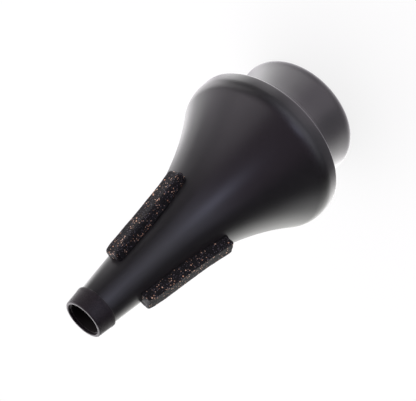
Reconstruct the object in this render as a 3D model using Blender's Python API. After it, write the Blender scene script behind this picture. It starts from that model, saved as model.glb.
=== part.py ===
"""Straight mute for a trumpet.

A hollow cone swells to a belly, draws in to a waist and flares to a foot that a flat base plate closes. A collar
covers the open tip, and three cork strips along the cone hold the mute in the bell of the instrument.

The mute stands on its base plate: +Z runs up the axis from the middle of the base to the open tip.
Outlines are lists of (radius, height) points that run from the tip down the outside.
"""

import math

import bmesh
import bpy
import numpy as np

MM = 0.001

# Whole mute
OVERALL_LENGTH = 189.0 * MM
WALL = 1.5 * MM
GLUE_GAP = 0.3 * MM
SEGMENTS = 48
CURVE_STEPS = 12
ARC_STEPS = 4
MERGE_DISTANCE = 0.001 * MM
CREASE_ANGLE = math.radians(30.0)

# Neck, a straight taper from the collar to the start of the flare
NECK_RADIUS = 11.85 * MM
NECK_TAPER = math.radians(6.75)

# Flare, one hollow curve whose two ends touch the neck's taper and the cone in front of the belly
FLARE_BEND_HEIGHT = 89.6 * MM
FLARE_REACH = 50.0 * MM

# Belly, waist and foot: corners of the outline and the radii that round them
BELLY_RADIUS = 50.0 * MM
BELLY_FRONT_HEIGHT = 47.8 * MM
BELLY_FRONT_ROUND = 16.0 * MM
BELLY_REAR_HEIGHT = 37.2 * MM
BELLY_REAR_ROUND = 7.4 * MM
WAIST_RADIUS = 35.2 * MM
WAIST_HEIGHT = 28.1 * MM
WAIST_ROUND = 10.5 * MM
FOOT_RADIUS = 39.2 * MM
FOOT_ROUND = 7.0 * MM

# Waist joint, where the front shell plugs into the rear cup
PLUG_DEPTH = 6.0 * MM
PLUG_WALL = 1.4 * MM
PLUG_SHOULDER = 2.0 * MM

# Base plate and the ledge that it is glued against
PLATE_RADIUS = 29.4 * MM
PLATE_THICKNESS = 2.2 * MM
PLATE_CHAMFER = 0.4 * MM
LEDGE_WIDTH = 2.0 * MM
LEDGE_THICKNESS = 1.8 * MM
LEDGE_CORNER = 1.0 * MM

# Collar over the neck's turned-down end
COLLAR_LENGTH = 10.4 * MM
COLLAR_MOUTH_RADIUS = 11.45 * MM
COLLAR_REAR_RADIUS = 12.75 * MM
COLLAR_WALL = 1.1 * MM
COLLAR_MOUTH_ROUND = 1.1 * MM
COLLAR_REAR_ROUND = 0.35 * MM
COLLAR_LIP_THICKNESS = 1.4 * MM
COLLAR_LIP_ROUND = 0.3 * MM
THROAT_RADIUS = 9.95 * MM

# Cork strips, glued by hand, so that each is set back from the tip by its own distance
STRIP_LENGTH = 57.7 * MM
STRIP_WIDTH = 9.3 * MM
STRIP_THICKNESS = 5.5 * MM
STRIP_CROWN = 1.0 * MM
STRIP_CORNER_ROUND = 0.8 * MM
STRIP_STATIONS = 11
STRIP_BASE_POINTS = 5
SLOPE_STEP = 0.5 * MM
FIRST_STRIP_AZIMUTH = math.radians(330.0)
STRIP_SETBACKS = (31.1 * MM, 28.7 * MM, 29.9 * MM)

# Colours (linear), roughness
BLACK_SATIN = ((0.020, 0.018, 0.021), 0.36)
BLACK_MATT = ((0.021, 0.018, 0.019), 0.50)
CORK_COMPOSITE = ((0.035, 0.028, 0.024), 0.90)


def clear_scene():
    """Removes whatever the scene holds."""
    for obj in list(bpy.data.objects):
        bpy.data.objects.remove(obj, do_unlink=True)


def make_material(name, look):
    """Returns a Principled material of the given colour and roughness."""
    colour, roughness = look
    material = bpy.data.materials.new(name)
    material.use_nodes = True
    shader = material.node_tree.nodes["Principled BSDF"]
    shader.inputs["Base Color"].default_value = (*colour, 1.0)
    shader.inputs["Roughness"].default_value = roughness
    shader.inputs["Metallic"].default_value = 0.0
    return material


def point(radius, height):
    """Returns one outline point."""
    return np.array([radius, height])


def rounded_corner(before, corner, after, radius, steps=ARC_STEPS):
    """Returns the arc that rounds a corner, touching the runs to the points before and after it.

    The arc is kept to under half of either run.
    """
    to_before, to_after = before - corner, after - corner
    run_before, run_after = np.linalg.norm(to_before), np.linalg.norm(to_after)
    to_before, to_after = to_before / run_before, to_after / run_after
    half_angle = 0.5 * math.acos(float(np.clip(to_before @ to_after, -1.0, 1.0)))
    reach = min(radius / math.tan(half_angle), 0.45 * run_before, 0.45 * run_after)
    radius = reach * math.tan(half_angle)
    middle = (to_before + to_after) / np.linalg.norm(to_before + to_after)
    centre = corner + middle * radius / math.sin(half_angle)
    start = corner + to_before * reach - centre
    end = corner + to_after * reach - centre
    turn = math.atan2(start[0] * end[1] - start[1] * end[0], float(start @ end))
    angles = np.linspace(0.0, turn, steps + 1)
    x = np.cos(angles) * start[0] - np.sin(angles) * start[1]
    y = np.sin(angles) * start[0] + np.cos(angles) * start[1]
    return centre + np.stack([x, y], axis=1)


def flare_curve(start, bend, end):
    """Returns the hollow curve from start to end that is tangent to the runs to the bend at both."""
    t = np.linspace(0.0, 1.0, CURVE_STEPS + 1)[:, None]
    return (1.0 - t) ** 2 * start + 2.0 * (1.0 - t) * t * bend + t ** 2 * end


def body_outline():
    """Returns the outside of both shells, from the neck's shoulder to the edge of the flat base, and the seam.

    The seam is the height at which the waist is narrowest.
    """
    shoulder = point(NECK_RADIUS, OVERALL_LENGTH - COLLAR_LENGTH)
    slope = math.tan(NECK_TAPER)
    bend_radius = NECK_RADIUS + slope * (shoulder[1] - FLARE_BEND_HEIGHT)
    bend = point(bend_radius, FLARE_BEND_HEIGHT)
    flare_start = point(bend_radius - slope * FLARE_REACH, FLARE_BEND_HEIGHT + FLARE_REACH)
    belly_front = point(BELLY_RADIUS, BELLY_FRONT_HEIGHT)
    belly_rear = point(BELLY_RADIUS, BELLY_REAR_HEIGHT)
    waist = point(WAIST_RADIUS, WAIST_HEIGHT)
    foot = point(FOOT_RADIUS, 0.0)
    front_arc = rounded_corner(bend, belly_front, belly_rear, BELLY_FRONT_ROUND)
    rear_arc = rounded_corner(belly_front, belly_rear, waist, BELLY_REAR_ROUND)
    waist_arc = rounded_corner(belly_rear, waist, foot, WAIST_ROUND, 2 * ARC_STEPS)
    foot_arc = rounded_corner(waist, foot, point(0.0, 0.0), FOOT_ROUND, 2 * ARC_STEPS)
    flare = flare_curve(flare_start, bend, front_arc[0])
    outline = np.concatenate([[shoulder], flare, front_arc[1:], rear_arc, waist_arc, foot_arc])
    seam = float(waist_arc[np.argmin(waist_arc[:, 0]), 1])
    return outline, seam


def inset(outline, distance):
    """Returns the outline moved towards the inside of the mute by a distance square to itself."""
    runs = np.diff(outline, axis=0)
    runs /= np.linalg.norm(runs, axis=1)[:, None]
    normals = np.stack([runs[:, 1], -runs[:, 0]], axis=1)
    ahead = np.concatenate([normals, normals[-1:]])
    behind = np.concatenate([normals[:1], normals])
    mitre = ahead + behind
    mitre /= np.linalg.norm(mitre, axis=1)[:, None]
    stretch = 1.0 / np.sum(mitre * ahead, axis=1)
    return outline + mitre * (distance * stretch)[:, None]


def radius_at(outline, height):
    """Returns the outline's radius at a height, where the outline only descends."""
    return float(np.interp(height, outline[::-1, 1], outline[::-1, 0]))


def stretch_between(outline, top, bottom):
    """Returns the part of a descending outline between two heights, with a point at each end."""
    inside = outline[(outline[:, 1] < top - MERGE_DISTANCE) & (outline[:, 1] > bottom + MERGE_DISTANCE)]
    ends = [point(radius_at(outline, h), h) for h in (top, bottom)]
    return np.concatenate([[ends[0]], inside, [ends[1]]])


def finish_piece(name, bm, material):
    """Makes an object from a bmesh: outward faces, smooth shading up to the crease angle."""
    bmesh.ops.recalc_face_normals(bm, faces=bm.faces)
    mesh = bpy.data.meshes.new(name)
    bm.to_mesh(mesh)
    bm.free()
    mesh.shade_smooth()
    mesh.set_sharp_from_angle(angle=CREASE_ANGLE)
    mesh.materials.append(material)
    obj = bpy.data.objects.new(name, mesh)
    bpy.context.collection.objects.link(obj)
    return obj


def turned(name, outline, material, solid=False):
    """Makes a piece by spinning an outline round the axis.

    A ring's outline closes on itself; a solid's outline starts and ends on the axis.
    """
    bm = bmesh.new()
    verts = [bm.verts.new((radius, 0.0, height)) for radius, height in outline]
    edges = [bm.edges.new(pair) for pair in zip(verts, verts[1:])]
    if not solid:
        edges.append(bm.edges.new((verts[-1], verts[0])))
    bmesh.ops.spin(bm, geom=verts + edges, axis=(0.0, 0.0, 1.0), angle=2.0 * math.pi, steps=SEGMENTS,
                   use_merge=True)
    bmesh.ops.remove_doubles(bm, verts=bm.verts, dist=MERGE_DISTANCE)
    return finish_piece(name, bm, material)


def collar_radius(height):
    """Returns the collar's outside radius at a height."""
    share = (OVERALL_LENGTH - height) / COLLAR_LENGTH
    return COLLAR_MOUTH_RADIUS + share * (COLLAR_REAR_RADIUS - COLLAR_MOUTH_RADIUS)


def make_front_shell(outline, seam, material):
    """Makes the cone and belly, with a turned-down end for the collar and a plug for the rear cup."""
    neck_end = OVERALL_LENGTH - COLLAR_LIP_THICKNESS - GLUE_GAP
    shoulder = OVERALL_LENGTH - COLLAR_LENGTH - GLUE_GAP
    seat = [point(collar_radius(h) - COLLAR_WALL - GLUE_GAP, h) for h in (neck_end, shoulder)]
    outside = stretch_between(outline, shoulder, seam)

    plug_outer = radius_at(outline, seam) - WALL - GLUE_GAP
    plug_inner = plug_outer - PLUG_WALL
    plug = [
        point(plug_outer, seam),
        point(plug_outer, seam - PLUG_DEPTH),
        point(plug_inner, seam - PLUG_DEPTH),
        point(plug_inner, seam + PLUG_SHOULDER),
    ]

    lining = inset(outline, WALL)
    inside = stretch_between(lining, shoulder, seam + 2.0 * PLUG_SHOULDER)[::-1]
    throat = point(radius_at(lining, shoulder) - math.tan(NECK_TAPER) * (neck_end - shoulder), neck_end)
    loop = np.concatenate([seat, outside, plug, inside, [throat]])
    return turned("front_shell", loop, material)


def make_rear_cup(outline, seam, material):
    """Makes the flared foot with the rebate and ledge for the base plate."""
    rim = seam - GLUE_GAP
    outside = stretch_between(outline, rim, 0.0)
    rebate = PLATE_RADIUS + GLUE_GAP
    ledge_under = PLATE_THICKNESS + GLUE_GAP
    ledge_over = ledge_under + LEDGE_THICKNESS
    ledge_inner = PLATE_RADIUS - LEDGE_WIDTH
    lining = inset(outline, WALL)
    corner_top = ledge_over + LEDGE_CORNER
    inside = stretch_between(lining, rim, corner_top)[::-1]
    inside[-1] = point(radius_at(outline, seam) - WALL, rim)
    ledge = [
        point(rebate, 0.0),
        point(rebate, ledge_under),
        point(ledge_inner, ledge_under),
        point(ledge_inner, ledge_over),
        point(inside[0][0] - LEDGE_CORNER, ledge_over),
    ]
    loop = np.concatenate([outside, ledge, inside])
    return turned("rear_cup", loop, material)


def make_base_plate(material):
    """Makes the flat disc that closes the foot and that the mute stands on."""
    loop = np.array([
        point(0.0, PLATE_THICKNESS),
        point(PLATE_RADIUS - PLATE_CHAMFER, PLATE_THICKNESS),
        point(PLATE_RADIUS, PLATE_THICKNESS - PLATE_CHAMFER),
        point(PLATE_RADIUS, PLATE_CHAMFER),
        point(PLATE_RADIUS - PLATE_CHAMFER, 0.0),
        point(0.0, 0.0),
    ])
    return turned("base_plate", loop, material, solid=True)


def make_collar(material):
    """Makes the tapered ring round the tip, with a rounded mouth and a lip over the neck's end."""
    mouth, rear = OVERALL_LENGTH, OVERALL_LENGTH - COLLAR_LENGTH
    lip_under = mouth - COLLAR_LIP_THICKNESS
    outer_mouth = point(COLLAR_MOUTH_RADIUS, mouth)
    outer_rear = point(COLLAR_REAR_RADIUS, rear)
    inner_rear = point(COLLAR_REAR_RADIUS - COLLAR_WALL, rear)
    socket_end = point(collar_radius(lip_under) - COLLAR_WALL, lip_under)
    lip_edge = point(THROAT_RADIUS, lip_under)
    lip_mouth = point(THROAT_RADIUS, mouth)
    loop = np.concatenate([
        rounded_corner(lip_mouth, outer_mouth, outer_rear, COLLAR_MOUTH_ROUND),
        rounded_corner(outer_mouth, outer_rear, inner_rear, COLLAR_REAR_ROUND, 2),
        [inner_rear, socket_end, lip_edge],
        rounded_corner(lip_edge, lip_mouth, outer_mouth, COLLAR_LIP_ROUND, 2),
    ])
    return turned("tip_collar", loop, material)


def strip_section():
    """Returns the strip's section as (sideways, height share, drop) rows, counter-clockwise from the base.

    The height share is 0 on the glued face and 1 on the outer face; the drop is measured down from there.
    """
    half = 0.5 * STRIP_WIDTH
    base = [(s, 0.0, 0.0) for s in np.linspace(-half, half, STRIP_BASE_POINTS)]
    corners = []
    quarter = np.linspace(0.0, 0.5 * math.pi, ARC_STEPS)
    for side, angles in ((1.0, quarter), (-1.0, quarter[::-1])):
        for angle in angles:
            sideways = side * (half - STRIP_CORNER_ROUND * (1.0 - math.cos(angle)))
            corners.append((sideways, 1.0, STRIP_CORNER_ROUND * (1.0 - math.sin(angle))))
    return np.array(base + corners)


def make_strip(name, outline, setback, azimuth, material):
    """Makes one cork strip that follows the flare, its ends cut square to the cone."""
    tip_end = OVERALL_LENGTH - setback
    heights = np.linspace(tip_end, tip_end - STRIP_LENGTH, STRIP_STATIONS)
    along = np.linspace(-1.0, 1.0, STRIP_STATIONS)
    section = strip_section()
    rings = []
    bm = bmesh.new()
    for height, share in zip(heights, along):
        slope = (radius_at(outline, height - SLOPE_STEP) - radius_at(outline, height + SLOPE_STEP)) / (2.0 * SLOPE_STEP)
        lean = math.atan(slope)
        thickness = STRIP_THICKNESS + STRIP_CROWN * (1.0 - share ** 2)
        seat_radius = radius_at(outline, height) + GLUE_GAP / math.cos(lean)
        ring = []
        for sideways, level, drop in section:
            rise = level * (thickness - GLUE_GAP - drop)
            radius = seat_radius + rise * math.cos(lean)
            if level == 0.0:
                radius = math.sqrt(seat_radius ** 2 - sideways ** 2)
            ring.append(bm.verts.new((radius, sideways, height + rise * math.sin(lean))))
        rings.append(ring)
    for upper, lower in zip(rings, rings[1:]):
        for i in range(len(section)):
            bm.faces.new((upper[i - 1], upper[i], lower[i], lower[i - 1]))
    bm.faces.new(rings[0])
    bm.faces.new(rings[-1])
    obj = finish_piece(name, bm, material)
    obj.rotation_euler.z = azimuth
    return obj


def main():
    """Builds the mute."""
    clear_scene()
    satin = make_material("black_satin_plastic", BLACK_SATIN)
    matt = make_material("black_matt_plastic", BLACK_MATT)
    cork = make_material("speckled_cork", CORK_COMPOSITE)
    outline, seam = body_outline()
    make_front_shell(outline, seam, satin)
    make_rear_cup(outline, seam, satin)
    make_base_plate(satin)
    make_collar(matt)
    spacing = 2.0 * math.pi / len(STRIP_SETBACKS)
    for number, setback in enumerate(STRIP_SETBACKS):
        azimuth = FIRST_STRIP_AZIMUTH - number * spacing
        make_strip(f"cork_strip_{number + 1}", outline, setback, azimuth, cork)


main()
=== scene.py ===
"""Looks of a straight mute for a trumpet.

A hollow black cone of satin plastic swells to a belly, draws in to a waist and flares to a foot that a disc
closes. A matt collar covers the open tip, and three strips of black cork composite with copper-coloured
specks run along the cone. The mute stands on its disc: +Z runs up the axis, from the middle of the base to
the open tip.
"""

import itertools
import logging
import math
from dataclasses import dataclass
from enum import Enum

import bpy
import numpy as np
from mathutils import Matrix, Vector


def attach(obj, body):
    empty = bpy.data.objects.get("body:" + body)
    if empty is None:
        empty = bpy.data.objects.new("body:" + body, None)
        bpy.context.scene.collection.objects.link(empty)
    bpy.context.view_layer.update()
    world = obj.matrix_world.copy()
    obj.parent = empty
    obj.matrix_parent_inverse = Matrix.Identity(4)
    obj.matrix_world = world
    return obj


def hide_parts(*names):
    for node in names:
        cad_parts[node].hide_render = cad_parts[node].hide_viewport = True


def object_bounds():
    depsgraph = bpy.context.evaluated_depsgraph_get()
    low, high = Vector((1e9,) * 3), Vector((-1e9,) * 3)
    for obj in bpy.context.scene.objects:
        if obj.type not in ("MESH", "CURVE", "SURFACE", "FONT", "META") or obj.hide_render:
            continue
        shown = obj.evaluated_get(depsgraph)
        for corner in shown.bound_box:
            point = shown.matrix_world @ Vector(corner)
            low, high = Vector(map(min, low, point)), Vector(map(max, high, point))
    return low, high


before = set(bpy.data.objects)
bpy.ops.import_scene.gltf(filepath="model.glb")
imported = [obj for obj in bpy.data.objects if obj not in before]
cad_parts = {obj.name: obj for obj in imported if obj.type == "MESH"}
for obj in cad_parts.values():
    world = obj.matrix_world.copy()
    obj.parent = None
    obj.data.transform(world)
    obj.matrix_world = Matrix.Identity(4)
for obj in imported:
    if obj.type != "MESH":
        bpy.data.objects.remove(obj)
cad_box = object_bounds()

MM = 0.001
ROOT_BODY = "root"
CREASE_ANGLE = math.radians(32.0)
RISE = "rise"

Array = np.ndarray
Colour = tuple[float, float, float]
Socket = bpy.types.NodeSocket

log = logging.getLogger("mute")


class Slot(Enum):
    """The material slots that the part's record names."""

    SHELL = "shell"
    COLLAR = "collar"
    CORK = "cork"


# Outlines: arrays of (radius, height) rows that run from the tip down the outside

def point(radius: float, height: float) -> Array:
    """Returns one outline point: its distance from the axis and its height above the base, in metres."""
    return np.array([radius, height])


def rounded_corner(before: Array, corner: Array, after: Array, radius: float, steps: int) -> Array:
    """Rounds a corner with an arc that touches both runs.

    The arc's centre lies on the corner's bisector, at radius / sin(half the corner's angle), and the arc
    starts and ends at radius / tan(half the angle) from the corner, kept to under half of either run.

    Args:
        before: The outline point before the corner.
        corner: The corner.
        after: The outline point after it.
        radius: The arc's radius.
        steps: Number of chords.

    Returns:
        The arc's points, one a row.
    """
    to_before, to_after = before - corner, after - corner
    run_before, run_after = np.linalg.norm(to_before), np.linalg.norm(to_after)
    to_before, to_after = to_before / run_before, to_after / run_after
    half_angle = 0.5 * math.acos(float(np.clip(to_before @ to_after, -1.0, 1.0)))
    reach = min(radius / math.tan(half_angle), 0.45 * run_before, 0.45 * run_after)
    radius = reach * math.tan(half_angle)
    middle = (to_before + to_after) / np.linalg.norm(to_before + to_after)
    centre = corner + middle * radius / math.sin(half_angle)
    start = corner + to_before * reach - centre
    end = corner + to_after * reach - centre
    turn = math.atan2(start[0] * end[1] - start[1] * end[0], float(start @ end))
    angles = np.linspace(0.0, turn, steps + 1)
    across = np.cos(angles) * start[0] - np.sin(angles) * start[1]
    up = np.sin(angles) * start[0] + np.cos(angles) * start[1]
    return centre + np.stack([across, up], axis=1)


def quadratic_curve(start: Array, bend: Array, end: Array, steps: int) -> Array:
    """Returns points on the curve (1-t)^2 start + 2 (1-t) t bend + t^2 end, one a row, with t from 0 to 1."""
    share = np.linspace(0.0, 1.0, steps + 1)[:, None]
    return (1.0 - share) ** 2 * start + 2.0 * (1.0 - share) * share * bend + share ** 2 * end


def inset(outline: Array, distance: float) -> Array:
    """Moves an outline towards the inside by a distance square to itself.

    Each point moves along the mean of the two runs' normals, lengthened by one over the cosine of half their
    turn.

    Args:
        outline: Points that run down the outside.
        distance: How far to move them.

    Returns:
        The moved points.
    """
    runs = np.diff(outline, axis=0)
    runs /= np.linalg.norm(runs, axis=1)[:, None]
    normals = np.stack([runs[:, 1], -runs[:, 0]], axis=1)
    ahead = np.concatenate([normals, normals[-1:]])
    behind = np.concatenate([normals[:1], normals])
    mitre = ahead + behind
    mitre /= np.linalg.norm(mitre, axis=1)[:, None]
    return outline + mitre * (distance / np.sum(mitre * ahead, axis=1))[:, None]


def radius_at(outline: Array, height: float | Array) -> float | Array:
    """Returns a descending outline's radius at one height or several."""
    return np.interp(height, outline[::-1, 1], outline[::-1, 0])


def stretch_between(outline: Array, top: float, bottom: float) -> Array:
    """Cuts the part of a descending outline between two heights.

    Args:
        outline: Points that run down the outside.
        top: Height of the first point wanted.
        bottom: Height of the last point wanted.

    Returns:
        The points between, with one added at each end.
    """
    margin = 0.01 * MM
    inside = outline[(outline[:, 1] < top - margin) & (outline[:, 1] > bottom + margin)]
    ends = [point(radius_at(outline, height), height) for height in (top, bottom)]
    return np.concatenate([[ends[0]], inside, [ends[1]]])


# Surfaces on grids

def ring_surface(loop: Array, segments: int) -> tuple[Array, Array]:
    """Turns a closed loop round the axis.

    The point at parameters (i, a) is (radius_i cos a, radius_i sin a, height_i), on a grid that closes on
    itself both ways.

    Args:
        loop: Outline points, the last joined to the first, running down the outside.
        segments: Number of steps round the axis.

    Returns:
        Vertices and quads that face outwards.
    """
    angles = np.linspace(0.0, 2.0 * math.pi, segments, endpoint=False)
    radius, height = loop[:, 0][:, None], loop[:, 1][:, None]
    verts = np.stack([radius * np.cos(angles), radius * np.sin(angles), height + 0.0 * angles], axis=-1)
    ids = np.arange(len(loop) * segments).reshape(len(loop), segments)
    down, on = np.roll(ids, -1, axis=0), np.roll(ids, -1, axis=1)
    both = np.roll(down, -1, axis=1)
    quads = np.stack([ids, down, both, on], axis=-1)
    return verts.reshape(-1, 3), quads.reshape(-1, 4)


def disc_surface(outline: Array, segments: int) -> tuple[Array, list[list[int]]]:
    """Turns an outline whose first and last points lie on the axis.

    It is the grid of ring_surface without its two inmost rows, which become one pole each, closed by
    triangles.

    Args:
        outline: Points from the axis, down the outside and back to the axis.
        segments: Number of steps round the axis.

    Returns:
        Vertices, and faces that point outwards.
    """
    rim = outline[1:-1]
    verts, quads = ring_surface(rim, segments)
    quads = quads[: (len(rim) - 1) * segments]
    poles = np.array([[0.0, 0.0, outline[0, 1]], [0.0, 0.0, outline[-1, 1]]])
    top, bottom = len(verts), len(verts) + 1
    first = np.arange(segments)
    last = first + (len(rim) - 1) * segments
    upper = np.stack([np.full(segments, top), first, np.roll(first, -1)], axis=1)
    lower = np.stack([np.full(segments, bottom), np.roll(last, -1), last], axis=1)
    return np.concatenate([verts, poles]), quads.tolist() + upper.tolist() + lower.tolist()


def box_surface(cells: tuple[int, int, int]) -> tuple[Array, Array]:
    """Lays a square grid over the six sides of a unit box.

    Args:
        cells: Number of cells along each of the box's three directions.

    Returns:
        Points with coordinates from 0 to 1, each corner and edge point once, and quads that face outwards.
    """
    counts = [n + 1 for n in cells]
    ids = np.arange(counts[0] * counts[1] * counts[2]).reshape(counts)
    quads = []
    for axis, end in itertools.product(range(3), (0, -1)):
        side = np.take(ids, end, axis=axis)
        quad = np.stack([side[:-1, :-1], side[1:, :-1], side[1:, 1:], side[:-1, 1:]], axis=-1).reshape(-1, 4)
        outward = (end == -1) == (axis != 1)
        quads.append(quad if outward else quad[:, ::-1])
    used, quads = np.unique(np.concatenate(quads), return_inverse=True)
    grid = np.stack(np.unravel_index(used, counts), axis=1) / np.array(cells, float)
    return grid, quads.reshape(-1, 4)


def random_swell(points: Array, size: float, seed: int) -> Array:
    """Gives each point a smooth random value.

    A lattice of the given size holds random values from -1 to 1, and a point blends its cell's eight corners
    with weights s * s * (3 - 2 * s) along each direction.

    Args:
        points: One point a row.
        size: Lattice spacing.
        seed: Picks the random values.

    Returns:
        One value a point, from -1 to 1.
    """
    table_size = 48
    table = np.random.default_rng(seed).uniform(-1.0, 1.0, (table_size,) * 3)
    cell = np.floor(points / size).astype(int)
    share = points / size - cell
    fade = share * share * (3.0 - 2.0 * share)
    total = np.zeros(len(points))
    for corner in itertools.product((0, 1), repeat=3):
        index = (cell + corner) % table_size
        weight = np.prod(np.where(np.array(corner) == 1, fade, 1.0 - fade), axis=1)
        total += weight * table[tuple(index.T)]
    return total


def crumb_distance(points: Array, size: float, seed: int) -> Array:
    """Measures how far each point is from the middle of the nearest crumb.

    Each lattice cell holds one middle at a random place in it, and the nearest of those in the 27 cells round
    a point counts.

    Args:
        points: One point a row.
        size: Lattice spacing, about a crumb's width.
        seed: Picks the middles.

    Returns:
        One distance a point, in crumb widths.
    """
    table_size = 32
    table = np.random.default_rng(seed).uniform(0.0, 1.0, (table_size,) * 3 + (3,))
    scaled = points / size
    cell = np.floor(scaled).astype(int)
    nearest = np.full(len(points), np.inf)
    for step in itertools.product((-1, 0, 1), repeat=3):
        other = cell + step
        middle = other + table[tuple((other % table_size).T)]
        nearest = np.minimum(nearest, np.linalg.norm(scaled - middle, axis=1))
    return nearest


# Materials

class NodeSheet:
    """A node tree whose nodes are added and joined in short calls."""

    def __init__(self, tree: bpy.types.NodeTree) -> None:
        """Takes the node tree of a material or a world."""
        self.tree = tree

    def add(self, kind: str, inputs: dict[str, object] | None = None, **settings: object) -> bpy.types.Node:
        """Adds a node.

        Args:
            kind: The node's type name.
            inputs: Input name to a value, or to the output socket that feeds it.
            **settings: The node's own properties.

        Returns:
            The node.
        """
        node = self.tree.nodes.new(kind)
        for key, value in settings.items():
            setattr(node, key, value)
        for key, value in (inputs or {}).items():
            self.feed(node, key, value)
        return node

    def feed(self, node: bpy.types.Node, name: str, value: object) -> None:
        """Sets or links one input of a node.

        Args:
            node: The node.
            name: The input's name, with /n behind it for the nth input of that name.
            value: A value, or the output socket to link.
        """
        label, _, place = name.partition("/")
        socket = [s for s in node.inputs if s.name == label and s.enabled][int(place or 0)]
        if isinstance(value, Socket):
            self.tree.links.new(value, socket)
        elif socket.type == "RGBA" and len(value) == 3:
            socket.default_value = (*value, 1.0)
        else:
            socket.default_value = value

    def place(self) -> Socket:
        """Returns the object's own coordinates, in metres."""
        return self.add("ShaderNodeTexCoord").outputs["Object"]

    def noise(self, where: Socket, size: float, detail: float = 2.0, roughness: float = 0.5) -> Socket:
        """Returns a noise value from 0 to 1.

        Args:
            where: The coordinates.
            size: Width of the noise's blotches, in metres.
            detail: Number of finer octaves.
            roughness: How strong they are.
        """
        node = self.add("ShaderNodeTexNoise", {"Vector": where, "Scale": 1.0 / size, "Detail": detail,
                                               "Roughness": roughness})
        return node.outputs["Fac"]

    def spread(self, value: Socket, low: float, high: float, to_low: float = 0.0, to_high: float = 1.0,
               soft: bool = False) -> Socket:
        """Returns a value stretched from one range onto another, kept inside it.

        Args:
            value: The value.
            low: Where the range starts.
            high: Where it ends.
            to_low: What low becomes.
            to_high: What high becomes.
            soft: Whether the value eases in and out.
        """
        kind = "SMOOTHSTEP" if soft else "LINEAR"
        node = self.add("ShaderNodeMapRange", {"Value": value, "From Min": low, "From Max": high,
                                               "To Min": to_low, "To Max": to_high}, interpolation_type=kind)
        return node.outputs["Result"]

    def maths(self, operation: str, first: object, second: object = 0.0) -> Socket:
        """Returns the result of one sum on two values."""
        node = self.add("ShaderNodeMath", {"Value/0": first, "Value/1": second}, operation=operation)
        return node.outputs["Value"]

    def vectors(self, operation: str, first: object, second: object) -> Socket:
        """Returns the result of one sum on two vectors: a vector, or a value for a dot product or distance.

        Args:
            operation: The sum.
            first: The first vector.
            second: The second vector, or the factor that the first is scaled by.
        """
        node = self.add("ShaderNodeVectorMath", {"Vector/0": first}, operation=operation)
        self.feed(node, "Scale" if operation == "SCALE" else "Vector/1", second)
        return next(s for s in node.outputs if s.enabled)

    def blend(self, share: object, first: object, second: object, kind: str = "MIX") -> Socket:
        """Returns two colours joined.

        Args:
            share: How much of the second one shows or is added.
            first: A colour of three numbers, or an output socket.
            second: The same.
            kind: The way they are joined.
        """
        node = self.add("ShaderNodeMix", {"Factor": share, "A": first, "B": second}, data_type="RGBA",
                        blend_type=kind, clamp_result=False)
        return next(s for s in node.outputs if s.enabled)

    def bumps(self, height: Socket, depth: float, strength: float, under: Socket | None = None) -> Socket:
        """Returns a normal bent by a height.

        Args:
            height: Height from 0 to 1.
            depth: What a height of 1 stands for, in metres.
            strength: How much of the bend is used.
            under: A normal to bend further.
        """
        inputs = {"Height": height, "Distance": depth, "Strength": strength}
        if under is not None:
            inputs["Normal"] = under
        return self.add("ShaderNodeBump", inputs).outputs["Normal"]


class MaterialSheet(NodeSheet):
    """The node sheet of a new material with a Principled shader."""

    def __init__(self, name: str) -> None:
        """Starts the material.

        Args:
            name: The material's name.
        """
        self.material = bpy.data.materials.new(name)
        self.material.use_nodes = True
        super().__init__(self.material.node_tree)
        self.shader = self.tree.nodes["Principled BSDF"]

    def finish(self, **inputs: object) -> bpy.types.Material:
        """Feeds the shader's inputs, named with _ for a space, and returns the material."""
        for name, value in inputs.items():
            self.feed(self.shader, name.replace("_", " "), value)
        return self.material


@dataclass(frozen=True)
class MouldedPlastic:
    """Black moulded plastic, its gloss and tone slightly clouded, with a ripple and a finer grain over it."""

    name: str
    colour: Colour
    deep_colour: Colour
    roughness: float
    roughness_drift: float
    grain_size: float
    grain_depth: float
    cloud_size: float = 24.0 * MM
    cloud_range: tuple[float, float] = (0.3, 0.7)
    grain_range: tuple[float, float] = (0.36, 0.64)
    ripple_grains_wide: float = 9.0
    ripple_grains_deep: float = 3.0
    ripple_strength: float = 0.5
    index_of_refraction: float = 1.5
    reflectance: float = 0.5
    mottle: float = 0.0

    def build(self) -> bpy.types.Material:
        """Makes the material: clouded tone and gloss, ripple and grain as bumps, and the grain as mottle."""
        sheet = MaterialSheet(self.name)
        where = sheet.place()
        clouds = sheet.noise(where, self.cloud_size, detail=3.0)
        grain = sheet.noise(where, self.grain_size, detail=3.0, roughness=0.6)
        ripple = sheet.noise(where, self.ripple_grains_wide * self.grain_size, detail=1.0)
        rough = sheet.spread(clouds, *self.cloud_range, self.roughness - self.roughness_drift,
                             self.roughness + self.roughness_drift)
        normal = sheet.bumps(ripple, self.ripple_grains_deep * self.grain_depth, self.ripple_strength)
        normal = sheet.bumps(grain, self.grain_depth, 1.0, normal)
        colour = sheet.blend(clouds, self.deep_colour, self.colour)
        light = sheet.spread(grain, *self.grain_range, 1.0 - self.mottle, 1.0 + self.mottle)
        colour = sheet.vectors("SCALE", colour, light)
        return sheet.finish(Base_Color=colour, Roughness=rough, Normal=normal, IOR=self.index_of_refraction,
                            Specular_IOR_Level=self.reflectance)


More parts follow.
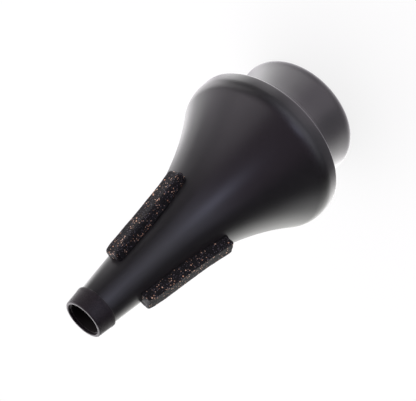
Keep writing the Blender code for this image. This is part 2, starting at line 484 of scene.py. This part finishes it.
@dataclass(frozen=True)
class SpeckledCork:
    """Black cork and rubber crumb, pale grains and round copper-coloured specks, painted shade at its glued
    base.
    """

    name: str = "speckled_cork"
    crumb: Colour = (0.0040, 0.0036, 0.0044)
    pale_crumb: Colour = (0.190, 0.172, 0.205)
    pale_heart: tuple[float, float] = (0.22, 0.40)
    pale_rarity: float = 0.25
    pale_falloff: float = 1.6
    grain_size: float = 0.72 * MM
    grain_depth: float = 0.16 * MM
    speck: Colour = (0.68, 0.34, 0.19)
    pale_speck: Colour = (0.88, 0.63, 0.47)
    speck_size: float = 1.00 * MM
    speck_rarity: float = 0.985
    fine_speck_size: float = 0.66 * MM
    fine_speck_rarity: float = 0.97
    speck_reach: tuple[float, float] = (0.26, 0.48)
    speck_edge: float = 0.05
    cluster_size: float = 4.5 * MM
    cluster_range: tuple[float, float] = (0.38, 0.62)
    cluster_pull: float = 0.12
    waviness: float = 0.10 * MM
    pit_size: float = 0.30 * MM
    pit_depth: float = 0.14 * MM
    roughness: float = 0.66
    speck_roughness: float = 0.42
    reflectance: float = 0.28
    # Painted shade along the glued base: its darkest tone, and the heights where it is darkest and where it
    # ends.
    painted_shade_tone: float = 0.08
    painted_shade_height: float = 0.2 * MM
    unshaded_height: float = 1.1 * MM

    def specks(self, sheet: NodeSheet, where: Socket, size: float, rarity: float,
               clusters: Socket) -> tuple[Socket, Socket]:
        """Picks some of a cell pattern's cells as specks, more of them where the clusters are.

        Args:
            sheet: The material.
            where: The coordinates.
            size: Width of a cell.
            rarity: A cell is a speck where its random value, plus the clusters' share, passes this.
            clusters: Value from 0 to 1, high in a cluster.

        Returns:
            How much of a speck shows, and a random value for each speck.
        """
        cells = sheet.add("ShaderNodeTexVoronoi", {"Vector": where, "Scale": 1.0 / size, "Randomness": 0.9})
        parts = sheet.add("ShaderNodeSeparateColor", {"Color": cells.outputs["Color"]})
        pull = sheet.maths("MULTIPLY", clusters, self.cluster_pull)
        picked = sheet.maths("GREATER_THAN", sheet.maths("ADD", parts.outputs["Red"], pull), rarity)
        reach = sheet.spread(parts.outputs["Green"], 0.0, 1.0, *self.speck_reach)
        depth = sheet.maths("SUBTRACT", reach, cells.outputs["Distance"])
        inside = sheet.spread(depth, 0.0, self.speck_edge)
        return sheet.maths("MULTIPLY", picked, inside), parts.outputs["Blue"]

    def crumbs(self, sheet: NodeSheet, where: Socket) -> tuple[Socket, Socket]:
        """Lays out the grains, each with its own tone, palest in its middle.

        Args:
            sheet: The material.
            where: The coordinates.

        Returns:
            How pale a grain is, and the distance from its middle.
        """
        cells = sheet.add("ShaderNodeTexVoronoi", {"Vector": where, "Scale": 1.0 / self.grain_size})
        tone = sheet.add("ShaderNodeSeparateColor", {"Color": cells.outputs["Color"]}).outputs["Green"]
        heart = sheet.spread(cells.outputs["Distance"], *self.pale_heart, 1.0, 0.0)
        paleness = sheet.maths("POWER", sheet.spread(tone, self.pale_rarity, 1.0), self.pale_falloff)
        return sheet.maths("MULTIPLY", paleness, heart), cells.outputs["Distance"]

    def build(self) -> bpy.types.Material:
        """Makes the material: black ground, pale grains, two sizes of specks, crumbs and pits as bumps."""
        sheet = MaterialSheet(self.name)
        where = sheet.place()
        waves = sheet.add("ShaderNodeTexNoise", {"Vector": where, "Scale": 0.5 / self.grain_size,
                                                 "Detail": 1.0}).outputs["Color"]
        moved = sheet.vectors("ADD", where, sheet.vectors("MULTIPLY", waves, (self.waviness,) * 3))
        clusters = sheet.spread(sheet.noise(where, self.cluster_size, detail=1.5), *self.cluster_range)
        coarse, tone = self.specks(sheet, moved, self.speck_size, self.speck_rarity, clusters)
        fine, _ = self.specks(sheet, moved, self.fine_speck_size, self.fine_speck_rarity, clusters)
        specks = sheet.maths("MAXIMUM", coarse, fine)
        paleness, from_middle = self.crumbs(sheet, moved)
        ground = sheet.blend(paleness, self.crumb, self.pale_crumb)
        copper = sheet.blend(tone, self.speck, self.pale_speck)
        # Painted shade: the colour darkens towards the glued face, in place of the shadow along the strip's
        # base.
        rise = sheet.add("ShaderNodeAttribute", attribute_name=RISE).outputs["Fac"]
        unshaded = sheet.spread(rise, self.painted_shade_height, self.unshaded_height, self.painted_shade_tone, 1.0, soft=True)
        colour = sheet.vectors("SCALE", sheet.blend(specks, ground, copper), unshaded)
        rough = sheet.spread(specks, 0.0, 1.0, self.roughness, self.speck_roughness)
        pits = sheet.noise(where, self.pit_size, detail=3.0, roughness=0.65)
        normal = sheet.bumps(sheet.maths("SUBTRACT", 1.0, from_middle), self.grain_depth, 1.0)
        normal = sheet.bumps(pits, self.pit_depth, 1.0, normal)
        return sheet.finish(Base_Color=colour, Roughness=rough, Normal=normal,
                            Specular_IOR_Level=self.reflectance)


SATIN_SHELL = MouldedPlastic(
    "satin_shell", colour=(0.0213, 0.0205, 0.0214), deep_colour=(0.0199, 0.0198, 0.0200),
    roughness=0.292, roughness_drift=0.016, grain_size=0.45 * MM, grain_depth=0.0022 * MM)
DULL_LINING = MouldedPlastic(
    "dull_lining", colour=(0.020, 0.018, 0.017), deep_colour=(0.015, 0.013, 0.012),
    roughness=0.55, roughness_drift=0.05, grain_size=0.60 * MM, grain_depth=0.012 * MM)
MATT_COLLAR = MouldedPlastic(
    "matt_collar", colour=(0.0175, 0.0130, 0.0158), deep_colour=(0.0126, 0.0094, 0.0113),
    roughness=0.50, roughness_drift=0.05, grain_size=0.70 * MM, grain_depth=0.040 * MM,
    cloud_size=9.0 * MM, reflectance=0.32, mottle=0.35)
GRAINED_DISC = MouldedPlastic(
    "grained_disc", colour=(0.022, 0.020, 0.022), deep_colour=(0.018, 0.017, 0.019),
    roughness=0.46, roughness_drift=0.04, grain_size=0.55 * MM, grain_depth=0.018 * MM)


# Pieces

def make_piece(name: str, verts: Array, faces: Array | list[list[int]], finishes: list[bpy.types.Material],
               node: str) -> bpy.types.Object:
    """Makes one finished piece, rides it on the body and hides the node that it stands for.

    Args:
        name: The piece's name.
        verts: One vertex a row, in metres.
        faces: Quads or mixed faces that point outwards.
        finishes: The materials, the main one first.
        node: The solid that it replaces.

    Returns:
        The object.
    """
    mesh = bpy.data.meshes.new(name)
    faces = faces if isinstance(faces, list) else faces.tolist()
    mesh.from_pydata(verts.tolist(), [], faces)
    mesh.validate()
    mesh.shade_smooth()
    mesh.set_sharp_from_angle(angle=CREASE_ANGLE)
    for finish in finishes:
        mesh.materials.append(finish)
    piece = bpy.data.objects.new(name, mesh)
    bpy.context.scene.collection.objects.link(piece)
    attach(piece, ROOT_BODY)
    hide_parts(node)
    log.info("%s: %d vertices, %d faces, stands for %s", name, len(verts), len(faces), node)
    return piece


def make_shell(name: str, outside: Array, rest: Array, segments: int,
               finishes: list[bpy.types.Material], node: str) -> bpy.types.Object:
    """Turns one moulding of the shell, and lines all of it but its outside.

    Args:
        name: The piece's name.
        outside: The loop's points along the outside.
        rest: The loop's other points.
        segments: Number of steps round the axis.
        finishes: The outside's material and the lining's.
        node: The solid that it replaces.

    Returns:
        The piece.
    """
    verts, quads = ring_surface(np.concatenate([outside, rest]), segments)
    piece = make_piece(name, verts, quads, finishes, node)
    lined = np.arange(len(quads)) >= len(outside) * segments
    piece.data.polygons.foreach_set("material_index", lined.astype(np.int32))
    return piece


@dataclass(frozen=True)
class Body:
    """The turned body's sizes, and the outlines that they give."""

    length: float
    belly_radius: float
    wall: float = 1.5 * MM
    joint_gap: float = 0.06 * MM
    segments: int = 288
    curve_steps: int = 84
    arc_steps: int = 14
    neck_radius: float = 11.85 * MM
    neck_taper: float = math.radians(6.75)
    collar_length: float = 10.4 * MM
    flare_bend_height: float = 89.6 * MM
    flare_reach: float = 50.0 * MM
    belly_front_height: float = 47.8 * MM
    belly_front_round: float = 16.0 * MM
    belly_rear_height: float = 37.2 * MM
    belly_rear_round: float = 1.6 * MM
    waist_radius: float = 35.95 * MM
    waist_height: float = 28.56 * MM
    waist_round: float = 10.5 * MM
    flank_radius: float = 36.1 * MM
    flank_height: float = 19.2 * MM
    foot_radius: float = 39.65 * MM
    foot_round: float = 7.0 * MM

    def outline(self) -> tuple[Array, float]:
        """Works out the outside from the neck's shoulder to the edge of the flat base.

        The flare and the foot's flank are quadratic curves. The flare touches the neck's taper and the cone
        in front of the belly, and the flank touches the waist's arc and the foot's. The belly, waist and foot
        are corners rounded by arcs.

        Returns:
            The outline, and the height at which the waist is narrowest.
        """
        shoulder = point(self.neck_radius, self.length - self.collar_length)
        slope = math.tan(self.neck_taper)
        bend_radius = self.neck_radius + slope * (shoulder[1] - self.flare_bend_height)
        bend = point(bend_radius, self.flare_bend_height)
        start = point(bend_radius - slope * self.flare_reach, self.flare_bend_height + self.flare_reach)
        belly_front = point(self.belly_radius, self.belly_front_height)
        belly_rear = point(self.belly_radius, self.belly_rear_height)
        waist = point(self.waist_radius, self.waist_height)
        flank_bend = point(self.flank_radius, self.flank_height)
        foot = point(self.foot_radius, 0.0)
        front_arc = rounded_corner(bend, belly_front, belly_rear, self.belly_front_round, self.arc_steps)
        rear_arc = rounded_corner(belly_front, belly_rear, waist, self.belly_rear_round, self.arc_steps)
        waist_arc = rounded_corner(belly_rear, waist, flank_bend, self.waist_round, 2 * self.arc_steps)
        foot_arc = rounded_corner(flank_bend, foot, point(0.0, 0.0), self.foot_round, self.arc_steps)
        flare = quadratic_curve(start, bend, front_arc[0], self.curve_steps)
        flank = quadratic_curve(waist_arc[-1], flank_bend, foot_arc[0], self.arc_steps)
        outline = np.concatenate([
            [shoulder], flare, front_arc[1:], rear_arc, waist_arc, flank[1:-1], foot_arc,
        ])
        return outline, float(waist_arc[np.argmin(waist_arc[:, 0]), 1])


@dataclass(frozen=True)
class FrontShell:
    """Cone and belly, with a turned-down end under the collar and a plug inside the rear cup."""

    body: Body
    collar: "TipCollar"
    plug_depth: float = 6.0 * MM
    plug_wall: float = 1.4 * MM
    plug_gap: float = 0.3 * MM
    plug_shoulder: float = 2.0 * MM

    def build(self, finishes: list[bpy.types.Material]) -> bpy.types.Object:
        """Turns the shell: outside, plug and inside as one loop.

        Args:
            finishes: The outside's material and the lining's.

        Returns:
            The piece.
        """
        body = self.body
        outline, seam = body.outline()
        top = self.collar.lip_under() - body.joint_gap
        shoulder = body.length - body.collar_length - body.joint_gap
        seat = [point(self.collar.socket_radius(h) - body.joint_gap, h) for h in (top, shoulder)]
        outside = stretch_between(outline, shoulder, seam)
        plug_outer = radius_at(outline, seam) - body.wall - self.plug_gap
        plug_inner = plug_outer - self.plug_wall
        plug_end = seam - self.plug_depth
        plug = [point(plug_outer, seam), point(plug_outer, plug_end), point(plug_inner, plug_end),
                point(plug_inner, seam + self.plug_shoulder)]
        inner = inset(outline, body.wall)
        inside = stretch_between(inner, shoulder, seam + 2.0 * self.plug_shoulder)[::-1]
        throat_radius = radius_at(inner, shoulder) - math.tan(body.neck_taper) * (top - shoulder)
        rest = np.concatenate([plug, inside, [point(throat_radius, top)]])
        return make_shell("cone_and_belly", np.concatenate([seat, outside]), rest, body.segments, finishes,
                          "front_shell")


@dataclass(frozen=True)
class RearCup:
    """Flared foot, with the rebate and the ledge for the base disc."""

    body: Body
    disc: "BaseDisc"
    ledge_width: float = 2.0 * MM
    ledge_thickness: float = 1.8 * MM
    ledge_corner: float = 1.0 * MM

    def build(self, finishes: list[bpy.types.Material]) -> bpy.types.Object:
        """Turns the cup: outside, rebate, ledge and inside as one loop.

        Args:
            finishes: The outside's material and the lining's.

        Returns:
            The piece.
        """
        body, disc = self.body, self.disc
        outline, seam = body.outline()
        rim = seam - body.joint_gap
        outside = stretch_between(outline, rim, 0.0)
        under = disc.thickness + disc.gap
        over = under + self.ledge_thickness
        inner = inset(outline, body.wall)
        inside = stretch_between(inner, rim, over + self.ledge_corner)[::-1]
        inside[-1] = point(radius_at(outline, seam) - body.wall, rim)
        ledge_inner = disc.radius - self.ledge_width
        ledge = [point(disc.radius + disc.gap, 0.0), point(disc.radius + disc.gap, under),
                 point(ledge_inner, under), point(ledge_inner, over),
                 point(inside[0][0] - self.ledge_corner, over)]
        rest = np.concatenate([ledge, inside])
        return make_shell("foot_cup", outside, rest, body.segments, finishes, "rear_cup")


@dataclass(frozen=True)
class BaseDisc:
    """The flat disc that the mute stands on."""

    radius: float = 29.4 * MM
    thickness: float = 2.2 * MM
    gap: float = 0.12 * MM
    edge_round: float = 0.4 * MM
    edge_steps: int = 6
    face_share: float = 0.97
    face_rings: int = 10
    segments: int = 192

    def build(self, finish: bpy.types.Material) -> bpy.types.Object:
        """Turns the disc, with its edges rounded by arcs.

        Args:
            finish: Its material.

        Returns:
            The piece.
        """
        top, bottom = point(self.radius, self.thickness), point(self.radius, 0.0)
        upper_middle, lower_middle = point(0.0, self.thickness), point(0.0, 0.0)
        shares = np.linspace(0.0, self.face_share, self.face_rings)[:, None]
        outline = np.concatenate([
            upper_middle + shares * (top - upper_middle),
            rounded_corner(upper_middle, top, bottom, self.edge_round, self.edge_steps),
            rounded_corner(top, bottom, lower_middle, self.edge_round, self.edge_steps),
            (lower_middle + shares * (bottom - lower_middle))[::-1],
        ])
        verts, faces = disc_surface(outline, self.segments)
        return make_piece("base_disc", verts, faces, [finish], "base_plate")


@dataclass(frozen=True)
class TipCollar:
    """Tapered ring over the neck's end, with a rounded mouth and a lip."""

    length_to_mouth: float
    length: float = 10.4 * MM
    mouth_radius: float = 11.45 * MM
    rear_radius: float = 12.75 * MM
    wall: float = 1.1 * MM
    mouth_round: float = 1.1 * MM
    mouth_steps: int = 12
    taper_steps: int = 35
    rear_round: float = 0.35 * MM
    rear_steps: int = 6
    lip_thickness: float = 1.4 * MM
    lip_round: float = 0.3 * MM
    lip_steps: int = 5
    throat_radius: float = 9.95 * MM
    bead_height: float = 0.10 * MM
    bead_width: float = 0.9 * MM
    bead_setback: float = 1.3 * MM
    unevenness: float = 0.05 * MM
    unevenness_size: float = 3.0 * MM
    seed: int = 5
    segments: int = 288

    def outside_radius(self, height: float | Array) -> float | Array:
        """Returns the collar's outside radius at a height, along its taper."""
        share = (self.length_to_mouth - height) / self.length
        return self.mouth_radius + share * (self.rear_radius - self.mouth_radius)

    def socket_radius(self, height: float) -> float:
        """Returns the radius of the socket that the neck fills at a height."""
        return self.outside_radius(height) - self.wall

    def lip_under(self) -> float:
        """Returns the height of the lip's underside."""
        return self.length_to_mouth - self.lip_thickness

    def build(self, finish: bpy.types.Material) -> bpy.types.Object:
        """Turns the collar, raises its bead and makes its outside slightly uneven.

        The outside gains bead_height * exp(-(distance / bead_width)^2) round the bead, and a random swell.

        Args:
            finish: Its material.

        Returns:
            The piece.
        """
        mouth, rear = self.length_to_mouth, self.length_to_mouth - self.length
        outer_mouth, outer_rear = point(self.mouth_radius, mouth), point(self.rear_radius, rear)
        inner_rear = point(self.rear_radius - self.wall, rear)
        socket_end = point(self.socket_radius(self.lip_under()), self.lip_under())
        lip_edge = point(self.throat_radius, self.lip_under())
        lip_mouth = point(self.throat_radius, mouth)
        mouth_arc = rounded_corner(lip_mouth, outer_mouth, outer_rear, self.mouth_round, self.mouth_steps)
        rear_arc = rounded_corner(outer_mouth, outer_rear, inner_rear, self.rear_round, self.rear_steps)
        lip_arc = rounded_corner(lip_edge, lip_mouth, outer_mouth, self.lip_round, self.lip_steps)
        shares = np.linspace(0.0, 1.0, self.taper_steps + 1)[1:-1, None]
        taper = mouth_arc[-1] + shares * (rear_arc[0] - mouth_arc[-1])
        outside = np.concatenate([mouth_arc, taper, rear_arc])
        loop = np.concatenate([outside, [inner_rear, socket_end, lip_edge], lip_arc])
        verts, quads = ring_surface(loop, self.segments)
        outward = verts / np.array([1.0, 1.0, np.inf])
        outward /= np.linalg.norm(outward, axis=1)[:, None]
        skin = np.repeat(np.arange(len(loop)) < len(outside), self.segments)
        bead = self.bead_height * np.exp(-((verts[:, 2] - rear - self.bead_setback) / self.bead_width) ** 2)
        swell = self.unevenness * random_swell(verts, self.unevenness_size, self.seed)
        verts = verts + outward * (skin * (bead + swell))[:, None]
        return make_piece("collar", verts, quads, [finish], "tip_collar")


@dataclass(frozen=True)
class CorkStrip:
    """One strip of cork composite, bent along the flare and cut square at its ends."""

    body: Body
    number: int
    azimuth: float
    setback: float
    edge_round: float
    length: float = 57.7 * MM
    width: float = 9.3 * MM
    thickness: float = 5.5 * MM
    crown: float = 1.0 * MM
    tip_wear: float = 0.8 * MM
    wear_length: float = 5.0 * MM
    seat_gap: float = 0.10 * MM
    cell: float = 0.30 * MM
    crumb_size: float = 0.85 * MM
    crumb_depth: float = 0.10 * MM
    pit_size: float = 0.45 * MM
    pit_depth: float = 0.05 * MM
    wander_size: float = 6.0 * MM
    wander: float = 0.14 * MM
    end_zone: float = 2.0 * MM
    end_tear_size: float = 2.2 * MM
    end_tear: float = 0.30 * MM
    glued_zone: float = 0.5 * MM

    def rounded_block(self) -> tuple[Array, Array, Array]:
        """Makes the strip flat: a block whose outer edges and ends are rounded.

        A point is pulled to the inner box that lies edge_round inside the block, and pushed out from it again
        by edge_round along the line between the two. The glued face keeps its sharp edges.

        Returns:
            Points as (along, across, height), quads that face outwards, and how near each point is to an end.
        """
        cells = tuple(round(size / self.cell) for size in (self.length, self.width, self.thickness))
        grid, quads = box_surface(cells)
        half = 0.5 * np.array([self.length, self.width, 0.0])
        block = grid * np.array([self.length, self.width, self.thickness]) - half
        low = np.array([-half[0], -half[1], -np.inf]) + self.edge_round
        high = np.array([half[0], half[1], self.thickness]) - self.edge_round
        core = np.clip(block, low, high)
        out = block - core
        reach = np.linalg.norm(out, axis=1)
        push = np.where(reach > 0.0, self.edge_round / np.maximum(reach, 1e-12), 0.0)
        block = core + out * push[:, None]
        endness = np.clip((np.abs(block[:, 0]) - half[0]) / self.end_zone + 1.0, 0.0, 1.0)
        return block, quads, endness

    def bend(self, block: Array) -> Array:
        """Lays the flat block on the cone.

        A point's height on the cone is the strip's middle plus its place along it, and its rise is square to
        the cone there. Across the width the glued face follows the cone's circle and the outer face is flat.
        Towards the tip the outer face wears down by tip_wear times the square of the share of wear_length.

        Args:
            block: Points as (along, across, height).

        Returns:
            Points in the part's frame, with the strip facing +X.
        """
        outline, _ = self.body.outline()
        along, across, rise = block.T
        station = self.body.length - self.setback - 0.5 * self.length + along
        share = 2.0 * along / self.length
        crown = self.crown * np.clip(1.0 - share ** 2, 0.0, 1.0)
        lift = rise / self.thickness
        worn = np.clip((along - 0.5 * self.length + self.wear_length) / self.wear_length, 0.0, 1.0)
        rise = rise + lift * (crown - self.tip_wear * worn ** 2)
        step = 0.8 * MM
        slope = (radius_at(outline, station - step) - radius_at(outline, station + step)) / (2.0 * step)
        lean = np.arctan(slope)
        seat = radius_at(outline, station) + self.seat_gap / np.cos(lean)
        sag = seat - np.sqrt(seat ** 2 - across ** 2)
        reach = seat + rise * np.cos(lean) - (1.0 - np.clip(lift, 0.0, 1.0)) * sag
        return np.stack([reach, across, station + rise * np.sin(lean)], axis=1)

    def roughen(self, verts: Array, quads: Array, block: Array, endness: Array) -> Array:
        """Roughens the cut faces, and leaves the glued face as it is.

        Each point moves along its own normal by the crumbs' and pits' heights and a slow wander, and the ends
        are torn by a swell of their own.

        Args:
            verts: The bent strip's points.
            quads: Its faces.
            block: The flat strip's points.
            endness: How near each point is to an end.

        Returns:
            The moved points.
        """
        mesh = bpy.data.meshes.new("strip_normals")
        mesh.from_pydata(verts.tolist(), [], quads.tolist())
        normals = np.zeros(3 * len(verts))
        mesh.vertices.foreach_get("normal", normals)
        bpy.data.meshes.remove(mesh)
        seed = 100 * self.number
        crumbs = self.crumb_depth * (0.5 - crumb_distance(block, self.crumb_size, seed))
        pits = self.pit_depth * random_swell(block, self.pit_size, seed + 1)
        wander = self.wander * random_swell(block, self.wander_size, seed + 2)
        tear = self.end_tear * endness * random_swell(block, self.end_tear_size, seed + 3)
        free = np.clip(block[:, 2] / self.glued_zone, 0.0, 1.0)
        return verts + normals.reshape(-1, 3) * (free * (crumbs + pits + wander + tear))[:, None]

    def build(self, finish: bpy.types.Material) -> bpy.types.Object:
        """Makes the strip and turns it to its place round the axis.

        Args:
            finish: Its material.

        Returns:
            The piece.
        """
        block, quads, endness = self.rounded_block()
        verts = self.roughen(self.bend(block), quads, block, endness)
        cosine, sine = math.cos(self.azimuth), math.sin(self.azimuth)
        turn = np.array([[cosine, -sine, 0.0], [sine, cosine, 0.0], [0.0, 0.0, 1.0]])
        name = f"cork_pad_{self.number}"
        piece = make_piece(name, verts @ turn.T, quads, [finish], f"cork_strip_{self.number}")
        piece.data.attributes.new(RISE, "FLOAT", "POINT").data.foreach_set("value", block[:, 2])
        return piece


# Studio

def direction(azimuth: float, elevation: float) -> Vector:
    """Returns the unit vector at degrees from -Y, counter-clockwise from above, and degrees of elevation."""
    a, e = math.radians(azimuth), math.radians(elevation)
    return Vector((math.sin(a) * math.cos(e), -math.cos(a) * math.cos(e), math.sin(e)))


@dataclass(frozen=True)
class PhotoCamera:
    """The camera: a place round the mute, a point that it looks at, a roll and a lens."""

    azimuth: float = 8.84
    elevation: float = 30.68
    distance: float = 527.4 * MM
    aim_height: float = 89.0 * MM
    roll: float = 133.64
    lens: float = 83.0
    sensor_width: float = 36.0

    def build(self) -> bpy.types.Object:
        """Makes the camera and gives it to the scene."""
        back = direction(self.azimuth, self.elevation)
        upright = Vector((0.0, 0.0, 1.0))
        upright = (upright - back * upright.dot(back)).normalized()
        right = upright.cross(back)
        roll = math.radians(self.roll)
        up = upright * math.cos(roll) + right * math.sin(roll)
        side = up.cross(back)
        place = Vector((0.0, 0.0, self.aim_height)) + back * self.distance
        data = bpy.data.cameras.new("camera")
        data.lens = self.lens
        data.sensor_width = self.sensor_width
        camera = bpy.data.objects.new("camera", data)
        camera.matrix_world = Matrix((
            (side.x, up.x, back.x, place.x),
            (side.y, up.y, back.y, place.y),
            (side.z, up.z, back.z, place.z),
            (0.0, 0.0, 0.0, 1.0),
        ))
        bpy.context.scene.collection.objects.link(camera)
        bpy.context.scene.camera = camera
        return camera


@dataclass(frozen=True)
class SoftLight:
    """A soft patch of light in the surroundings, even in its middle and fading towards its rim."""

    azimuth: float
    elevation: float
    inner: float
    outer: float
    colour: Colour

    def add_to(self, sheet: NodeSheet, toward: Socket, under: Socket | Colour) -> Socket:
        """Adds the patch to the world's colour.

        Args:
            sheet: The world's nodes.
            toward: The direction looked in.
            under: The colour so far.

        Returns:
            The colour with this patch added.
        """
        middle, rim = math.cos(math.radians(self.inner)), math.cos(math.radians(self.outer))
        facing = sheet.vectors("DOT_PRODUCT", toward, direction(self.azimuth, self.elevation))
        return sheet.blend(sheet.spread(facing, rim, middle, soft=True), under, self.colour, "ADD")


@dataclass(frozen=True)
class LightPool:
    """A soft round pool of light on the floor, seen in reflections."""

    azimuth: float
    distance: float
    inner: float
    outer: float
    colour: Colour

    def add_to(self, sheet: NodeSheet, where: Socket, under: Socket | Colour) -> Socket:
        """Adds the pool to the floor's colour.

        Args:
            sheet: The floor's nodes.
            where: The place on the floor.
            under: The colour so far.

        Returns:
            The colour with this pool added.
        """
        middle = direction(self.azimuth, 0.0) * self.distance
        away = sheet.vectors("DISTANCE", where, middle)
        return sheet.blend(sheet.spread(away, self.outer, self.inner, soft=True), under, self.colour, "ADD")


@dataclass(frozen=True)
class Studio:
    """A white floor in soft surroundings: bright behind and to the left, dim on the camera's side."""

    floor_half_width: float = 8.0
    floor_drop: float = 0.15 * MM
    floor_white: Colour = (0.8, 0.8, 0.8)
    shadow_share: float = 0.14
    dim_surround: Colour = (0.01, 0.01, 0.02)
    high_behind: SoftLight = SoftLight(148.5, 34.0, 26.5, 83.5, (1.61, 1.50, 1.62))
    low_behind: SoftLight = SoftLight(-164.0, -5.0, 1.0, 87.0, (3.38, 3.38, 3.38))
    left: SoftLight = SoftLight(62.0, 27.0, 2.0, 31.5, (1.12, 1.01, 1.12))
    front_fill: SoftLight = SoftLight(0.0, -5.0, 39.0, 54.5, (0.23, 0.15, 0.22))
    front_streak: SoftLight = SoftLight(-3.0, -5.0, 2.0, 18.0, (2.45, 2.60, 3.55))
    pools_at_the_foot: tuple[LightPool, ...] = (
        LightPool(0.0, 0.000, 0.002, 0.047, (3.95, 3.95, 3.95)),
        LightPool(0.0, 0.000, 0.060, 0.119, (1.07, 1.00, 1.10)),
        LightPool(8.5, 0.077, 0.021, 0.042, (0.98, 0.88, 0.97)),
        LightPool(49.5, 0.072, 0.001, 0.043, (3.35, 3.25, 3.35)),
        LightPool(86.5, 0.072, 0.001, 0.047, (5.05, 5.05, 5.05)),
        LightPool(-85.0, 0.052, 0.024, 0.048, (1.55, 1.55, 1.50)),
        LightPool(-111.0, 0.109, 0.047, 0.093, (1.60, 1.60, 1.55)),
    )
    pools_beside_the_mute: tuple[LightPool, ...] = (
        LightPool(-2.0, 0.330, 0.080, 0.300, (1.75, 1.75, 2.00)),
        LightPool(96.0, 0.415, 0.015, 0.390, (2.10, 2.05, 2.10)),
        LightPool(131.0, 0.190, 0.072, 0.143, (2.45, 2.40, 2.45)),
        LightPool(-131.0, 0.500, 0.235, 0.470, (1.90, 1.90, 1.85)),
    )
    pools_far_off: tuple[LightPool, ...] = (
        LightPool(-4.0, 4.525, 2.900, 3.650, (2.20, 2.25, 2.90)),
        LightPool(171.0, 1.670, 1.025, 1.465, (3.27, 3.25, 3.27)),
    )

    def build(self) -> None:
        """Makes the world and the floor."""
        self.build_world()
        self.build_floor()

    def build_world(self) -> None:
        """Makes the surroundings: white to the camera, and the soft lights to everything else."""
        world = bpy.data.worlds.new("studio")
        bpy.context.scene.world = world
        world.use_nodes = True
        sheet = NodeSheet(world.node_tree)
        toward = sheet.add("ShaderNodeTexCoord").outputs["Generated"]
        colour: Socket | Colour = self.dim_surround
        for light in (self.high_behind, self.low_behind, self.left, self.front_fill, self.front_streak):
            colour = light.add_to(sheet, toward, colour)
        seen = sheet.add("ShaderNodeLightPath").outputs["Is Camera Ray"]
        sheet.feed(world.node_tree.nodes["Background"], "Color", sheet.blend(seen, colour, (1.0, 1.0, 1.0)))

    def build_floor(self) -> None:
        """Makes the floor: white with a faint shadow to the camera, pools of light in reflections."""
        half = self.floor_half_width
        corners = [(-half, -half), (half, -half), (half, half), (-half, half)]
        mesh = bpy.data.meshes.new("floor")
        mesh.from_pydata([(x, y, -self.floor_drop) for x, y in corners], [], [(0, 1, 2, 3)])
        floor = bpy.data.objects.new("floor", mesh)
        bpy.context.scene.collection.objects.link(floor)
        sheet = MaterialSheet("studio_floor")
        tree = sheet.tree
        tree.nodes.remove(sheet.shader)
        where = sheet.place()
        colour: Socket | Colour = (0.0, 0.0, 0.0)
        for pool in self.pools_at_the_foot + self.pools_beside_the_mute + self.pools_far_off:
            colour = pool.add_to(sheet, where, colour)
        path = sheet.add("ShaderNodeLightPath")
        seen = path.outputs["Is Camera Ray"]
        lift = sheet.maths("MULTIPLY", seen, 1.0 - self.shadow_share)
        white = sheet.add("ShaderNodeEmission", {"Color": (1.0, 1.0, 1.0), "Strength": lift})
        shaded = tuple(self.shadow_share * level for level in self.floor_white)
        paper = sheet.add("ShaderNodeBsdfDiffuse", {"Color": sheet.blend(seen, self.floor_white, shaded)})
        lit = sheet.add("ShaderNodeAddShader", {"Shader/0": white.outputs[0], "Shader/1": paper.outputs[0]})
        glow = sheet.add("ShaderNodeEmission", {"Color": colour, "Strength": 1.0})
        either = sheet.maths("MAXIMUM", path.outputs["Is Glossy Ray"], path.outputs["Is Transmission Ray"])
        both = sheet.add("ShaderNodeMixShader", {"Fac": either, "Shader/0": lit.outputs[0],
                                                 "Shader/1": glow.outputs[0]})
        tree.links.new(both.outputs[0], tree.nodes["Material Output"].inputs["Surface"])
        mesh.materials.append(sheet.material)


def main() -> None:
    """Builds the mute, the studio and the camera."""
    logging.basicConfig(level=logging.INFO, format="%(name)s %(message)s")
    scene = bpy.context.scene
    scene.view_settings.view_transform = "Standard"
    low, high = cad_box
    finishes = [SATIN_SHELL.build(), DULL_LINING.build()]
    cork = SpeckledCork().build()
    body = Body(length=high.z, belly_radius=high.x)
    disc = BaseDisc()
    collar = TipCollar(length_to_mouth=high.z)
    FrontShell(body, collar).build(finishes)
    RearCup(body, disc).build(finishes)
    disc.build(GRAINED_DISC.build())
    collar.build(MATT_COLLAR.build())
    strips = (
        CorkStrip(body, number=1, azimuth=math.radians(330.0), setback=31.1 * MM, edge_round=1.5 * MM),
        CorkStrip(body, number=2, azimuth=math.radians(210.0), setback=28.7 * MM, edge_round=0.8 * MM),
        CorkStrip(body, number=3, azimuth=math.radians(90.0), setback=29.9 * MM, edge_round=1.1 * MM),
    )
    for strip in strips:
        strip.build(cork)
    PhotoCamera().build()
    Studio().build()


if __name__ == "__main__":
    main()
